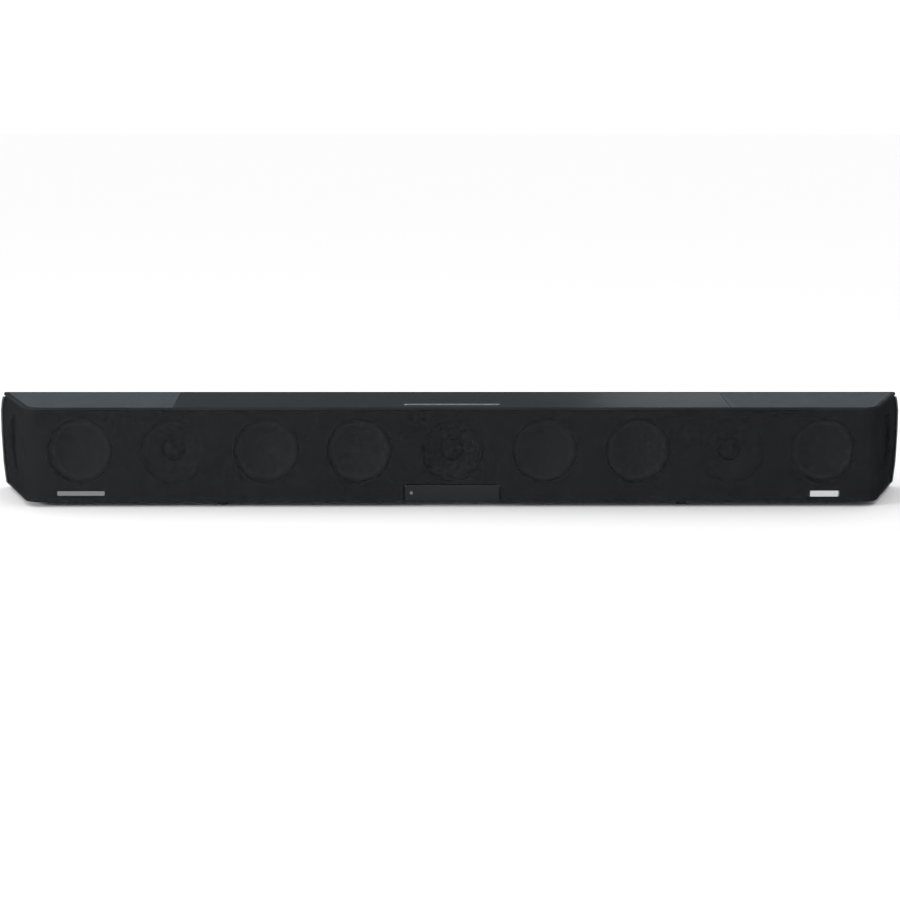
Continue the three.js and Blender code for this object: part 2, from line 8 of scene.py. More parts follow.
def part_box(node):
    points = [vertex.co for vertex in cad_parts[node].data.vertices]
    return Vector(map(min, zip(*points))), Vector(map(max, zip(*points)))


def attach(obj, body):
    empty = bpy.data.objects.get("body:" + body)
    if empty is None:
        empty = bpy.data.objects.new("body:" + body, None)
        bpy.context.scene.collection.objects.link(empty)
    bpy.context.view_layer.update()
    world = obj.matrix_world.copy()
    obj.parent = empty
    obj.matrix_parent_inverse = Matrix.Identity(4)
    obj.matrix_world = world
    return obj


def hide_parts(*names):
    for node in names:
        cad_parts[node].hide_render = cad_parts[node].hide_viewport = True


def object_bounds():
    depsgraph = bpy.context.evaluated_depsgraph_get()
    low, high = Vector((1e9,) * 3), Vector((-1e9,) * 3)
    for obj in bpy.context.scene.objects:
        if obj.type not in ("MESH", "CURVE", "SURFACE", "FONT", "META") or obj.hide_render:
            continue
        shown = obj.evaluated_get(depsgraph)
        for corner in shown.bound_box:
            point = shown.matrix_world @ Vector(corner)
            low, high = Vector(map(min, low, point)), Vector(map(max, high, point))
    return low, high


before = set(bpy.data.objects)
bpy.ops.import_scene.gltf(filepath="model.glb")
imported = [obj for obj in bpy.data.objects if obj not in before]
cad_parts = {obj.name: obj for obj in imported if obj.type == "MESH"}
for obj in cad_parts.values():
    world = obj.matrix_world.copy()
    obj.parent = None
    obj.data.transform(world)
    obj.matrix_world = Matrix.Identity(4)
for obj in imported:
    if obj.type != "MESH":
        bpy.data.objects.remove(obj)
cad_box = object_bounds()


# ---- Camera ----
# A long lens looks down on the bar from just over three metres in front of it, a little to the left
# of its middle.

camera = bpy.data.objects.new("camera", bpy.data.cameras.new("camera"))
bpy.context.collection.objects.link(camera)
bpy.context.scene.camera = camera
camera.data.sensor_width = 36
camera.data.lens = 92.61
camera_place = Vector((-0.0409, -3.15, 0.5356))
camera_aim = Vector((-0.0019, 0.0, 0.0649))
camera_roll = 0.0013
camera.location = camera_place
camera.rotation_euler = (camera_aim - camera_place).to_track_quat("-Z", "Y").to_euler()
camera.rotation_euler.rotate_axis("Z", camera_roll)


# ---- Floor and lights ----
# A pale paper floor in the light of a white room whose two end walls are dimmer, with one soft
# lamp at the left and weaker ones low in front and low behind.

bpy.context.scene.view_settings.view_transform = "Standard"


def new_finish(name, colour, roughness, metallic=0.0):
    material = bpy.data.materials.new(name)
    material.use_nodes = True
    shader = material.node_tree.nodes["Principled BSDF"]
    shader.inputs["Base Color"].default_value = (*colour, 1)
    shader.inputs["Roughness"].default_value = roughness
    shader.inputs["Metallic"].default_value = metallic
    return material, shader


def new_node(material, kind, **settings):
    node = material.node_tree.nodes.new(kind)
    for key, value in settings.items():
        setattr(node, key, value)
    return node


def join(material, source, target):
    material.node_tree.links.new(source, target)


def noise(material, scale, stretch=(1, 1, 1), detail=2.0):
    """Noise in the object's own metres: scale is how many grains there are to a metre."""
    place = new_node(material, "ShaderNodeTexCoord")
    mapping = new_node(material, "ShaderNodeMapping")
    mapping.inputs["Scale"].default_value = stretch
    texture = new_node(material, "ShaderNodeTexNoise")
    texture.inputs["Scale"].default_value = scale
    texture.inputs["Detail"].default_value = detail
    join(material, place.outputs["Object"], mapping.inputs["Vector"])
    join(material, mapping.outputs["Vector"], texture.inputs["Vector"])
    return texture.outputs["Fac"]


def spread(material, factor, low, high, socket):
    """Lets a socket run from low to high with a pattern."""
    span = new_node(material, "ShaderNodeMapRange")
    span.inputs["From Min"].default_value = 0.3
    span.inputs["From Max"].default_value = 0.7
    span.inputs["To Min"].default_value = low
    span.inputs["To Max"].default_value = high
    join(material, factor, span.inputs["Value"])
    join(material, span.outputs["Result"], socket)


def tint(material, factor, dark, light, socket):
    """Lets a colour run from dark to light with a pattern."""
    ramp = new_node(material, "ShaderNodeValToRGB")
    ramp.color_ramp.elements[0].position = 0.3
    ramp.color_ramp.elements[1].position = 0.7
    ramp.color_ramp.elements[0].color = (*dark, 1)
    ramp.color_ramp.elements[1].color = (*light, 1)
    join(material, factor, ramp.inputs["Fac"])
    join(material, ramp.outputs["Color"], socket)


def relief(material, height, depth, shader, strength=1.0):
    bump = new_node(material, "ShaderNodeBump")
    bump.inputs["Strength"].default_value = strength
    bump.inputs["Distance"].default_value = depth
    join(material, height, bump.inputs["Height"])
    join(material, bump.outputs["Normal"], shader.inputs["Normal"])


def new_piece(name, verts, faces, *materials, smooth=40, flat=False):
    """A mesh piece in metres, shaded smooth but for edges sharper than the angle."""
    mesh = bpy.data.meshes.new(name)
    mesh.from_pydata([tuple(v) for v in verts], [], faces)
    mesh.validate()
    piece = bpy.data.objects.new(name, mesh)
    bpy.context.collection.objects.link(piece)
    for material in materials:
        mesh.materials.append(material)
    mesh.shade_smooth()
    mesh.set_sharp_from_angle(angle=math.radians(smooth))
    if flat:
        piece.modifiers.new("flat_faces", "WEIGHTED_NORMAL").keep_sharp = True
    return piece


floor_half = 40.0
floor_paper, floor_shader = new_finish("floor_paper", (0.95, 0.95, 0.95), 0.9)
floor_shader.inputs["Specular IOR Level"].default_value = 0.1
spread(floor_paper, noise(floor_paper, 3), 0.86, 0.94, floor_shader.inputs["Roughness"])
floor = new_piece(
    "floor",
    [(-floor_half, -floor_half, 0), (floor_half, -floor_half, 0),
     (floor_half, floor_half, 0), (-floor_half, floor_half, 0)],
    [(0, 1, 2, 3)],
    floor_paper,
)

world = bpy.data.worlds.new("white_room")
bpy.context.scene.world = world
world.use_nodes = True
room = world.node_tree.nodes["Background"]
room.inputs["Color"].default_value = (1, 1, 1, 1)
room_light, end_wall_light = 1.14, 0.5
end_wall_start, end_wall_full = 0.5, 0.95
heading = new_node(world, "ShaderNodeTexCoord")
split = new_node(world, "ShaderNodeSeparateXYZ")
sideways = new_node(world, "ShaderNodeMath", operation="ABSOLUTE")
fall = new_node(world, "ShaderNodeMapRange")
fall.inputs["From Min"].default_value = end_wall_start
fall.inputs["From Max"].default_value = end_wall_full
fall.inputs["To Min"].default_value = room_light
fall.inputs["To Max"].default_value = end_wall_light
join(world, heading.outputs["Generated"], split.inputs["Vector"])
join(world, split.outputs["X"], sideways.inputs[0])
join(world, sideways.outputs["Value"], fall.inputs["Value"])
join(world, fall.outputs["Result"], room.inputs["Strength"])


def soft_lamp(name, place, aim, width, height, power):
    lamp = bpy.data.objects.new(name, bpy.data.lights.new(name, "AREA"))
    lamp.data.shape = "RECTANGLE"
    lamp.data.size = width
    lamp.data.size_y = height
    lamp.data.energy = power
    lamp.location = place
    lamp.rotation_euler = (Vector(aim) - Vector(place)).to_track_quat("-Z", "Y").to_euler()
    bpy.context.collection.objects.link(lamp)


soft_lamp("left_lamp", (-2.9, -1.9, 0.9), (0, 0, 0.07), 0.5, 0.5, 75)
soft_lamp("front_lamp", (0.2, -3.6, 0.3), (0, 0, 0.05), 1.6, 0.3, 20)
soft_lamp("rear_lamp", (0.86, 2.6, 0.5), (0.35, 0, 0.13), 0.9, 0.4, 9)


# ---- Cabinet ----
# One moulding of black plastic holds everything: floor, rear wall, slanted end walls and dividers.
# Its rear edge shows behind the cloth of each end. The mould gives it a fine matt grain.

bar_low, bar_high = cad_box
end_taper = 0.059
splay = math.atan(end_taper / (bar_high.y - bar_low.y))


def grained_plastic(name, colour, roughness, grain=1800, depth=0.00006, gloss=0.3):
    material, shader = new_finish(name, colour, roughness)
    light = tuple(channel * 1.35 + 0.002 for channel in colour)
    tint(material, noise(material, 9, detail=4), colour, light, shader.inputs["Base Color"])
    spread(material, noise(material, 40), roughness - 0.07, roughness + 0.07, shader.inputs["Roughness"])
    relief(material, noise(material, grain), depth, shader, 0.6)
    shader.inputs["Specular IOR Level"].default_value = gloss
    return material


cabinet_plastic = grained_plastic("cabinet_plastic", (0.008, 0.009, 0.01), 0.55, gloss=0.12)


def fitted(piece, body="root", nodes=()):
    """Fixes a piece to its body and hides the CAD nodes that it stands for."""
    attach(piece, body)
    if nodes:
        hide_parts(*nodes)
    return piece


def round_edges(piece, width, segments=3, angle=35):
    bevel = piece.modifiers.new("rounded_edges", "BEVEL")
    bevel.width = width
    bevel.segments = segments
    bevel.limit_method = "ANGLE"
    bevel.angle_limit = math.radians(angle)
    bevel.harden_normals = True
    return piece


def rounded_copy(node, name, width, material, segments=3):
    """The node's shape with its flat faces joined up and its edges rounded."""
    shape = bmesh.new()
    shape.from_mesh(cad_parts[node].data)
    bmesh.ops.remove_doubles(shape, verts=shape.verts, dist=1e-6)
    bmesh.ops.dissolve_limit(shape, angle_limit=math.radians(1), verts=shape.verts, edges=shape.edges)
    shape.verts.ensure_lookup_table()
    verts = [v.co.copy() for v in shape.verts]
    faces = [[v.index for v in face.verts] for face in shape.faces]
    shape.free()
    return round_edges(new_piece(name, verts, faces, material), width, segments)


cabinet = rounded_copy("cabinet", "cabinet_moulding", 0.0012, cabinet_plastic)
fitted(cabinet, nodes=["cabinet"])

screw_steel, screw_shader = new_finish("screw_steel", (0.05, 0.05, 0.052), 0.35, 1.0)
spread(screw_steel, noise(screw_steel, 900), 0.28, 0.5, screw_shader.inputs["Roughness"])
relief(screw_steel, noise(screw_steel, 2500), 0.00004, screw_shader, 0.5)


def turned_mesh(profile, sides):
    """Turns [radius, height] pairs about +Z. They run out over the front and back along the rear."""
    verts, rings = [], []
    for spot, (radius, height) in enumerate(profile):
        if spot and (radius, height) == profile[0]:
            rings.append(rings[0])
        elif radius == 0:
            rings.append([len(verts)] * sides)
            verts.append(Vector((0, 0, height)))
        else:
            rings.append([len(verts) + side for side in range(sides)])
            for side in range(sides):
                angle = 2 * math.pi * side / sides
                verts.append(Vector((radius * math.cos(angle), radius * math.sin(angle), height)))
    faces = []
    for first, second in zip(rings, rings[1:]):
        for side in range(sides):
            after = (side + 1) % sides
            face = [first[after], first[side], second[side], second[after]]
            faces.append([v for spot, v in enumerate(face) if v not in face[:spot]])
    return verts, faces


def turned_piece(name, profile, place, material, sides=64):
    verts, faces = turned_mesh(profile, sides)
    return new_piece(name, [place @ v for v in verts], faces, material)


def facing(direction, spot):
    """Stands a piece that was made about +Z on a spot, along a direction."""
    turn = Vector(direction).to_track_quat("Z", "Y").to_matrix().to_4x4()
    return Matrix.Translation(Vector(spot)) @ turn


def screws(name, spots, direction, radius=0.003):
    """Pan head screws with a round socket, joined as one piece."""
    verts, faces = [], []
    head = [(radius * 0.35, -0.0002), (radius * 0.35, radius * 0.42), (radius * 0.6, radius * 0.4),
            (radius * 0.86, radius * 0.26), (radius, 0.0002), (radius, -0.0002), (0, -0.0002)]
    for spot in spots:
        place = facing(direction, spot)
        more, sides = turned_mesh([(0, 0.0001)] + head, 24)
        faces += [[v + len(verts) for v in face] for face in sides]
        verts += [place @ v for v in more]
    return new_piece(name, verts, faces, screw_steel)


rear_y = bar_high.y
rear_spots = [(x, rear_y, z) for x in (-0.6, -0.3, -0.12, 0.12, 0.3, 0.6) for z in (0.016, 0.121)]
fitted(screws("rear_screws", rear_spots, (0, 1, 0)))
floor_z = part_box("cabinet")[0].z
floor_spots = [(x, y, floor_z) for x in (-0.45, -0.15, 0.15, 0.45) for y in (-0.055, 0.06)]
fitted(screws("floor_screws", floor_spots, (0, 0, -1)))


# ---- Feet ----
# Four pads of soft black rubber, pressed into the cabinet floor, with a rounded and slightly
# narrower tread.

foot_rubber, rubber_shader = new_finish("foot_rubber", (0.014, 0.014, 0.014), 0.85)
tint(foot_rubber, noise(foot_rubber, 120, detail=5), (0.011, 0.011, 0.011), (0.03, 0.03, 0.029),
     rubber_shader.inputs["Base Color"])
relief(foot_rubber, noise(foot_rubber, 1400), 0.0001, rubber_shader, 0.7)


def rounded_box(width, height, radius, x=0.0, y=0.0, steps=8):
    """A rounded rectangle or, with a radius of half its height, a pill. Counterclockwise."""
    points = []
    for quarter, (sx, sy) in enumerate(((1, -1), (1, 1), (-1, 1), (-1, -1))):
        for step in range(steps + 1):
            angle = math.pi / 2 * (quarter - 1 + step / steps)
            point = (x + sx * (width / 2 - radius) + radius * math.cos(angle),
                     y + sy * (height / 2 - radius) + radius * math.sin(angle))
            if not points or math.dist(point, points[-1]) > 1e-6:
                points.append(point)
    return points[:-1] if math.dist(points[0], points[-1]) < 1e-6 else points


def lofted(name, rings, *materials, smooth=40):
    """Closed outlines joined one to the next, with a face over the first and over the last."""
    count = len(rings[0])
    verts = [point for ring in rings for point in ring]
    faces = [list(range(count))[::-1]]
    for level in range(len(rings) - 1):
        low, high = level * count, (level + 1) * count
        for spot in range(count):
            after = (spot + 1) % count
            faces.append([low + spot, low + after, high + after, high + spot])
    faces.append([len(verts) - count + spot for spot in range(count)])
    return new_piece(name, verts, faces, *materials, smooth=smooth)


for side in ("left", "right"):
    for end in ("front", "rear"):
        node = f"foot_{end}_{side}"
        low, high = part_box(node)
        middle = (low + high) / 2
        width, length = high.x - low.x, high.y - low.y
        steps = [(0.0016, 0.0), (0.0006, 0.0004), (0.0002, 0.0014), (0.0, 0.0026), (0.0, high.z)]
        rings = [
            [(x, y, z) for x, y in rounded_box(width - 2 * inset, length - 2 * inset, width / 2 - inset,
                                               middle.x, middle.y)]
            for inset, z in steps
        ]
        fitted(lofted(f"rubber_{node}", rings, foot_rubber), nodes=[node])


# ---- Connector bay ----
# A moulded tray let into the rear wall. The mains inlet, the picture link and the optical link are
# soldered to the boards inside and look out through its front wall.

bay = rounded_copy("connector_bay", "bay_tray", 0.0008, cabinet_plastic)
fitted(bay, nodes=["connector_bay"])

socket_plastic = grained_plastic("socket_plastic", (0.01, 0.01, 0.0105), 0.4, 2600, 0.00003)
socket_steel, socket_shader = new_finish("socket_steel", (0.55, 0.55, 0.54), 0.3, 1.0)
spread(socket_steel, noise(socket_steel, 500, (1, 8, 1)), 0.22, 0.42, socket_shader.inputs["Roughness"])
relief(socket_steel, noise(socket_steel, 900, (1, 8, 1)), 0.00002, socket_shader, 0.5)
socket_gold, gold_shader = new_finish("contact_gold", (0.75, 0.52, 0.2), 0.25, 1.0)
spread(socket_gold, noise(socket_gold, 1500), 0.2, 0.35, gold_shader.inputs["Roughness"])

for node, material, slot in (
    ("mains_inlet", socket_plastic, "socket_plastic"),
    ("video_socket", socket_steel, "socket_steel"),
    ("optical_socket", socket_plastic, "socket_plastic"),
):
    fitted(rounded_copy(node, f"{node}_shell", 0.0004, material, 2), nodes=[node])

inlet_low, inlet_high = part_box("mains_inlet")
inlet_middle = (inlet_low + inlet_high) / 2
for side in (-1, 1):
    pin = [(0, 0), (0.0011, 0), (0.0012, 0.011), (0.0008, 0.0125), (0, 0.0128)]
    place = facing((0, 1, 0), (inlet_middle.x + side * 0.0043, inlet_low.y + 0.0032, inlet_middle.z))
    fitted(turned_piece(f"mains_pin_{'left' if side < 0 else 'right'}", pin[::-1], place, socket_steel, 24))


def box_mesh(low, high):
    """Corners and faces of an upright box."""
    corners = [(x, y, z) for z in (low[2], high[2]) for y in (low[1], high[1]) for x in (low[0], high[0])]
    faces = [(0, 2, 3, 1), (4, 5, 7, 6), (0, 1, 5, 4), (2, 6, 7, 3), (0, 4, 6, 2), (1, 3, 7, 5)]
    return corners, faces


def bars(name, boxes, material, edge=0.0001):
    """Small boxes with rounded edges, joined as one piece."""
    verts, faces = [], []
    for low, high in boxes:
        corners, sides = box_mesh(low, high)
        faces += [[v + len(verts) for v in side] for side in sides]
        verts += corners
    return round_edges(new_piece(name, verts, faces, material), edge, 2)


video_low, video_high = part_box("video_socket")
video_middle = (video_low + video_high) / 2
tongue = [((video_middle.x - 0.0055, video_low.y + 0.0025, video_middle.z - 0.0005),
           (video_middle.x + 0.0055, video_high.y - 0.003, video_middle.z + 0.0006))]
fitted(bars("video_tongue", tongue, socket_plastic))
contacts = [((video_middle.x + 0.001 * k - 0.00025, video_low.y + 0.004, video_middle.z + 0.0006),
             (video_middle.x + 0.001 * k + 0.00025, video_high.y - 0.004, video_middle.z + 0.0008))
            for k in range(-4, 5)]
fitted(bars("video_contacts", contacts, socket_gold, 0.00005))


# ---- Wall plates ----
# Two zinc plated steel plates are let into the rear wall. A wall bracket is screwed to their two
# threaded holes.

zinc, zinc_shader = new_finish("zinc_plate", (0.2, 0.205, 0.21), 0.42, 1.0)
tint(zinc, noise(zinc, 400, detail=4), (0.17, 0.175, 0.18), (0.23, 0.236, 0.24),
     zinc_shader.inputs["Base Color"])
spread(zinc, noise(zinc, 300), 0.32, 0.55, zinc_shader.inputs["Roughness"])
relief(zinc, noise(zinc, 700), 0.00004, zinc_shader, 0.5)
for side in ("left", "right"):
    node = f"wall_plate_{side}"
    fitted(rounded_copy(node, f"zinc_{node}", 0.0004, zinc, 2), nodes=[node])


# ---- Electronics ----
# Green circuit boards on the cabinet floor: the power supply at the left, and the main board with
# its amplifiers under a finned aluminium heat sink at the right.

board_green, board_shader = new_finish("solder_mask", (0.01, 0.07, 0.03), 0.35)
tint(board_green, noise(board_green, 260, detail=6), (0.006, 0.045, 0.02), (0.03, 0.13, 0.06),
     board_shader.inputs["Base Color"])
relief(board_green, noise(board_green, 700, detail=1), 0.0002, board_shader, 0.8)
sink_metal, sink_shader = new_finish("sink_aluminium", (0.5, 0.51, 0.52), 0.4, 1.0)
spread(sink_metal, noise(sink_metal, 400, (1, 0.05, 1)), 0.3, 0.52, sink_shader.inputs["Roughness"])
relief(sink_metal, noise(sink_metal, 900, (1, 0.05, 1)), 0.00005, sink_shader, 0.5)
for node in ("power_supply", "main_board", "control_board", "display_board"):
    fitted(rounded_copy(node, f"{node}_parts", 0.0003, board_green, 2), nodes=[node])
heat_sink = rounded_copy("heat_sink", "heat_sink_fins", 0.0004, sink_metal, 2)
fitted(heat_sink, nodes=["heat_sink"])


# ---- Front baffle and grille frame ----
# The baffle is a ribbed plastic board screwed across the open front. The grille frame snaps on
# round it and holds the cloth clear of the drive units.

inner_plastic = grained_plastic("inner_plastic", (0.048, 0.0485, 0.0515), 0.8, gloss=0.05)
baffle = rounded_copy("front_baffle", "baffle_board", 0.0006, inner_plastic, 2)
fitted(baffle, nodes=["front_baffle"])
ribs = rounded_copy("grille_frame", "grille_ribs", 0.0005, inner_plastic, 2)
fitted(ribs, nodes=["grille_frame"])


# ---- Drive units ----
# Each woofer and top unit has a coated steel basket, a pressed one-piece dish of paper fibre and a
# low rubber roll. Each tweeter has a flared wave guide round a thin metal dome.

basket_coat = grained_plastic("basket_coat", (0.062, 0.063, 0.066), 0.5, 1200, 0.00008, 0.1)
guide_plastic = grained_plastic("guide_plastic", (0.055, 0.056, 0.059), 0.6, 2200, 0.00003, 0.05)
roll_rubber, roll_shader = new_finish("roll_rubber", (0.09, 0.092, 0.095), 0.6)
tint(roll_rubber, noise(roll_rubber, 90), (0.09, 0.092, 0.096), (0.11, 0.112, 0.117),
     roll_shader.inputs["Base Color"])
roll_shader.inputs["Specular IOR Level"].default_value = 0.1
relief(roll_rubber, noise(roll_rubber, 2000), 0.00004, roll_shader, 0.5)
cone_fibre, cone_shader = new_finish("cone_fibre", (0.13, 0.132, 0.137), 0.6)
cone_shader.inputs["Specular IOR Level"].default_value = 0.1
tint(cone_fibre, noise(cone_fibre, 300, detail=6), (0.068, 0.07, 0.073), (0.096, 0.098, 0.102),
     cone_shader.inputs["Base Color"])
relief(cone_fibre, noise(cone_fibre, 900, detail=5), 0.00015, cone_shader, 0.8)
dome_foil, dome_shader = new_finish("dome_foil", (0.06, 0.061, 0.064), 0.55, 0.3)
dome_shader.inputs["Specular IOR Level"].default_value = 0.1
spread(dome_foil, noise(dome_foil, 600), 0.48, 0.62, dome_shader.inputs["Roughness"])
relief(dome_foil, noise(dome_foil, 1500), 0.00002, dome_shader, 0.4)


def arc(radius_from, radius_to, rise, base, steps=8):
    """A low hump between two radii, as [radius, height] pairs."""
    points = []
    for step in range(steps + 1):
        share = step / steps
        radius = radius_from + (radius_to - radius_from) * share
        points.append((radius, base + rise * math.sin(math.pi * share)))
    return points


def cone_unit(kind, which, flange, opening, magnet, depth, travel, place):
    """Basket, cone and roll about +Z, with nothing at the front of the board that they sit on."""
    lift, thick, coil, neck = 0.0003, 0.003, magnet * 0.4, -depth * 0.52
    basket = [
        (0, neck), (coil - 0.002, neck), (coil - 0.002, 0.006 - depth), (coil + 0.0016, 0.006 - depth),
        (coil + 0.0016, neck - 0.003), (magnet - 0.005, neck - 0.003), (opening, -travel - 0.003),
        (opening, lift + thick - 0.0026), (opening + 0.0018, lift + thick), (flange - 0.0006, lift + thick),
        (flange, lift + thick - 0.0006), (flange, lift), (opening + 0.0025, lift),
        (opening + 0.0025, -travel - 0.005), (magnet, neck - 0.005), (magnet, -depth), (0, -depth),
    ]
    pressing = turned_piece(f"{kind}_pressing_{which}", basket, place, basket_coat)
    fitted(pressing, nodes=[f"{kind}_basket_{which}"])
    edge, throat = opening - 0.0004, -depth * 0.25
    dish = [
        ((edge - 0.009) * share, 0.001 + (throat + 0.004) * (1 - share ** 2))
        for share in (0, 0.12, 0.25, 0.38, 0.5, 0.62, 0.74, 0.86, 1)
    ]
    pressed = dish + [
        (edge - 0.0088, 0.0), (coil + 0.0006, throat - 0.0012), (coil + 0.0006, -depth * 0.68),
        (coil - 0.0008, -depth * 0.68), (coil - 0.0008, throat - 0.0008), (0, throat + 0.0046),
    ]
    body = f"{kind}_cone_{which}"
    fitted(turned_piece(f"{kind}_diaphragm_{which}", pressed, place, cone_fibre), body, [body])
    over = arc(edge - 0.0095, edge - 0.0002, 0.0018, 0.0009)
    under = arc(edge - 0.0002, edge - 0.0095, 0.0014, 0.0004)
    roll = turned_piece(f"{kind}_roll_{which}", over + under + over[:1], place, roll_rubber)
    fitted(roll, body)


def tweeter_unit(kind, which, flange, throat, magnet, depth, place):
    """Wave guide and dome about +Z, seated as the cone units are."""
    lift, thick, seat = 0.0003, 0.003, 0.0075
    flare = [
        (throat + 0.0015 + (flange - 0.0055 - throat) * share, -0.006 + 0.0093 * (1 - (1 - share) ** 1.8))
        for share in (0, 0.08, 0.18, 0.3, 0.45, 0.6, 0.75, 0.88, 1)
    ]
    guide = [
        (0, 0.005 - depth), (throat - 0.003, 0.005 - depth), (throat - 0.003, 0.0034 - depth),
        (throat + 0.0015, 0.0034 - depth), *flare, (flange - 0.0006, lift + thick),
        (flange, lift + thick - 0.0006), (flange, lift), (flange - seat, lift), (magnet, -0.0055),
        (magnet, -depth), (0, -depth),
    ]
    moulding = turned_piece(f"{kind}_guide_{which}", guide, place, guide_plastic)
    fitted(moulding, nodes=[f"{kind}_body_{which}"])
    rim, crown, drop = throat + 0.0008, -0.0022, 0.0052
    bend = (rim ** 2 + drop ** 2) / (2 * drop)
    shell = [
        (rim * share, crown - bend + math.sqrt(bend ** 2 - (rim * share) ** 2))
        for share in (0, 0.15, 0.3, 0.45, 0.6, 0.75, 0.9, 1)
    ]
    dome = [*shell, (rim, -0.0082), (throat, -0.0082), (throat, 0.0046 - depth),
            (throat - 0.001, 0.0046 - depth), (throat - 0.001, -0.0084)]
    dome += [(radius * 0.9, height - 0.0006) for radius, height in shell[::-1]]
    body = f"{kind}_dome_{which}"
    fitted(turned_piece(f"{kind}_foil_{which}", dome, place, dome_foil), body, [body])


baffle_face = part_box("front_baffle")[0].y
driver_pitch, driver_height = 0.1246, 0.076
flange_top = 0.0033
driver_screws = []


def ring_of_screws(place, radius):
    for quarter in range(4):
        angle = math.pi / 4 + quarter * math.pi / 2
        driver_screws.append(place @ Vector((radius * math.cos(angle), radius * math.sin(angle), flange_top)))


for number, column in enumerate((-4, -2, -1, 1, 2, 4), 1):
    place = facing((0, -1, 0), (column * driver_pitch, baffle_face, driver_height))
    cone_unit("woofer", number, 0.05, 0.0435, 0.034, 0.06, 0.005, place)
    ring_of_screws(place, 0.0468)
for column, side in ((-3, "left"), (0, "centre"), (3, "right")):
    place = facing((0, -1, 0), (column * driver_pitch, baffle_face, driver_height))
    tweeter_unit("tweeter", side, 0.046, 0.014, 0.024, 0.026, place)
fitted(screws("driver_screws", driver_screws, (0, -1, 0), 0.0024))

deck_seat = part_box("cabinet")[1].z - 0.0033
skin_to_board = 0.0118
top_unit_x, top_unit_y = 0.5, 0.038
side_unit_y = -0.006


def half_width(y, inset):
    """Half the bar's width at a depth, so far inside the skin of its slanted ends."""
    return bar_high.x - (bar_high.y - y) * math.tan(splay) - inset / math.cos(splay)


for sign, side in ((-1, "left"), (1, "right")):
    place = facing((0, 0, 1), (sign * top_unit_x, top_unit_y, deck_seat))
    cone_unit("top_driver", side, 0.04, 0.035, 0.027, 0.044, 0.003, place)
    spot = (sign * half_width(side_unit_y, skin_to_board), side_unit_y, driver_height)
    outward = (sign * math.cos(splay), -math.sin(splay), 0)
    tweeter_unit("side_tweeter", side, 0.04, 0.014, 0.024, 0.026, facing(outward, spot))


# ---- Grille cloth ----
# One piece of knitted polyester is stretched round the front and both ends, and its edges are
# turned in and glued to the grille frame. It is open enough to show the drive units faintly.

corner_radius = 0.026
fullest_low, fullest_high = 0.080, 0.109
bulge_low, bulge_high = 0.0045, 0.0053
cloth_low, cloth_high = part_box("grille_cloth")
front_y = cloth_low.y
corner_y = front_y + corner_radius
flat_half = half_width(corner_y, corner_radius)
corner_run = corner_radius * (math.pi / 2 - splay)


def end_inset(z):
    """How far the slanted end lies inside its fullest place, at a height."""
    if z < fullest_low:
        return bulge_low * ((fullest_low - z) / (fullest_low - cloth_low.z)) ** 2
    if z > fullest_high:
        return bulge_high * ((z - fullest_high) / (bar_high.z - fullest_high)) ** 2
    return 0.0


def on_skin(run, z, sunk=0.0):
    """The skin's place at a run from the middle of the front, so far under its surface."""
    side, run = (-1 if run < 0 else 1), abs(run)
    shift = end_inset(z) / math.cos(splay) * min(run / flat_half, 1) ** 6
    if run <= flat_half:
        return Vector((side * (run - shift), front_y + sunk, z))
    angle = min(-math.pi / 2 + (run - flat_half) / corner_radius, -splay)
    reach = corner_radius - sunk
    along = max(run - flat_half - corner_run, 0)
    x = flat_half + reach * math.cos(angle) + along * math.sin(splay)
    y = corner_y + reach * math.sin(angle) + along * math.cos(splay)
    return Vector((side * (x - shift), y, z))


def filled(points, loops, dropped=None):
    """Triangles over a flat outline, the first loop of indices, without its convex holes, the rest."""
    edges = [pair for loop in loops for pair in zip(loop, loop[1:] + loop[:1])]
    owner = {v: number for number, loop in enumerate(loops) for v in loop}
    flat = [Vector(point) for point in points]
    middle = sum(flat, Vector((0, 0))) / len(flat)
    _, _, faces, source, _, _ = delaunay_2d_cdt([(at - middle) * 1000 for at in flat], edges, [], 0, 1e-6)
    kept = []
    for face in faces:
        corners = [source[v][0] for v in face]
        holes = {owner.get(v, 0) for v in corners}
        if len(holes) == 1 and holes != {0}:
            continue
        if dropped and dropped(sum((flat[v] for v in corners), Vector((0, 0))) / 3):
            continue
        kept.append(corners)
    return kept


window_low, window_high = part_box("display_window")
badge_low, badge_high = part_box("status_badge")
window_margin = 0.0026
cut_half = (window_high.x - window_low.x) / 2 + window_margin
cut_top = window_high.z + window_margin
cut_corner = 0.005
badge_gap = 0.0003
half_run = flat_half + corner_run + (
    cloth_high.y - corner_y + corner_radius * math.sin(splay)) / math.cos(splay)

cloth_outline = [(-half_run, cloth_high.z), (-half_run, cloth_low.z), (-cut_half, cloth_low.z)]
for step in range(9):
    angle = math.pi - math.pi / 2 * step / 8
    cloth_outline.append((-cut_half + cut_corner + cut_corner * math.cos(angle),
                          cut_top - cut_corner + cut_corner * math.sin(angle)))
cloth_outline += [(-x, z) for x, z in cloth_outline[::-1]]


def divided(outline, longest):
    """The same outline with its long sides divided."""
    points = []
    for start, end in zip(outline, outline[1:] + outline[:1]):
        parts = max(1, math.ceil(math.dist(start, end) / longest))
        across, up = end[0] - start[0], end[1] - start[1]
        points += [(start[0] + across * part / parts, start[1] + up * part / parts) for part in range(parts)]
    return points


